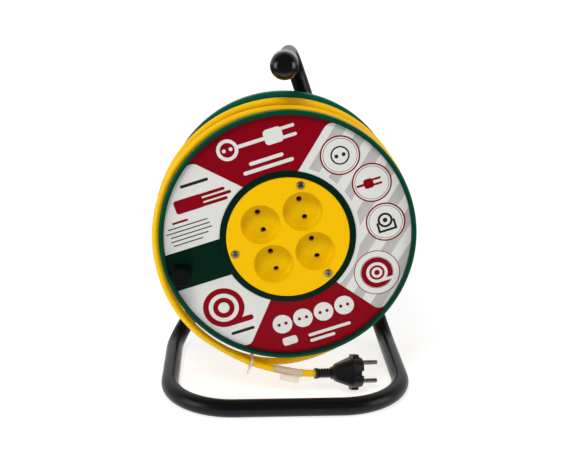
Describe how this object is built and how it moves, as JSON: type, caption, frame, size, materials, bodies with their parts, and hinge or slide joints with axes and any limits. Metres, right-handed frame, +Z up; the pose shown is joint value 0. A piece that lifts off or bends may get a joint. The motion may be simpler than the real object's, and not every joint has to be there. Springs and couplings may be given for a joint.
{
  "type": "extension cord reel",
  "caption": "Cable drum with a panel of socket outlets, turning on a bent steel tube stand with a carrying handle; yellow cable wound on it ends in a moulded plug.",
  "frame": {"origin": "on the floor, in the middle of the tube stand's base", "axes": "+Z up; the drum turns about an axis along Y and its socket panel faces -Y; +X is to the right as seen from the front"},
  "size_m": [0.2623, 0.209, 0.3532],
  "materials": {
    "black_paint": "semi-gloss black powder coat",
    "black_grip": "satin black moulded plastic",
    "steel": "zinc-plated steel",
    "green_plastic": "dark green moulded plastic",
    "barrel_plastic": "black moulded plastic",
    "nylon": "natural nylon",
    "label_print": "printed film",
    "yellow_panel": "yellow moulded plastic",
    "brass": "plain brass strip",
    "insulator": "dark insulating plastic",
    "cable_yellow": "yellow flexible cable sheath",
    "wire_brown": "brown core insulation",
    "wire_blue": "blue core insulation",
    "black_plug": "black moulded plug",
    "pin_metal": "nickel-plated brass",
    "knob_plastic": "black moulded plastic",
    "white_tie": "natural cable tie",
    "clear_tag": "clear tape"
  },
  "bodies": {
    "stand": {"frame_tube": "black_paint", "frame_brace": "black_paint", "handle_cap": "black_grip", "axle_collar": "steel", "thrust_washer": "nylon", "axle_washer": "steel", "axle_insert": "steel", "axle_bolt": "steel", "cable_tail": "cable_yellow", "cable_tie": "white_tie", "cable_tag": "clear_tag", "plug_sleeve": "black_plug", "plug_body": "black_plug", "plug_pins": "pin_metal"},
    "drum": {"front_flange": "green_plastic", "back_flange": "green_plastic", "barrel": "barrel_plastic", "bush_front": "nylon", "bush_rear": "nylon", "drum_screws": "steel", "label": "label_print", "socket_panel": "yellow_panel", "panel_screws": "steel", "socket_insert_1": "yellow_panel", "socket_insert_2": "yellow_panel", "socket_insert_3": "yellow_panel", "socket_insert_4": "yellow_panel", "contact_strip_live": "brass", "contact_strip_neutral": "brass", "contact_carrier": "insulator", "carrier_screws": "steel", "inner_lead": "cable_yellow", "wire_live": "wire_brown", "wire_neutral": "wire_blue", "lead_clamp": "insulator", "clamp_screws": "steel", "knob_spindle": "steel", "knob_screw": "steel", "cable_core": "cable_yellow", "cable_winding": "cable_yellow"},
    "knob": {"crank_knob": "knob_plastic", "knob_cap": "knob_plastic"}
  },
  "joints": [
    {"name": "drum_spin", "type": "hinge", "parent": "stand", "child": "drum", "pos_m": [0, -0.0065, 0.175], "axis": [0, 1, 0], "continuous": true},
    {"name": "knob_spin", "type": "hinge", "parent": "drum", "child": "knob", "pos_m": [-0.10319, -0.0765, 0.14147], "axis": [0, 1, 0], "continuous": true}
  ]
}
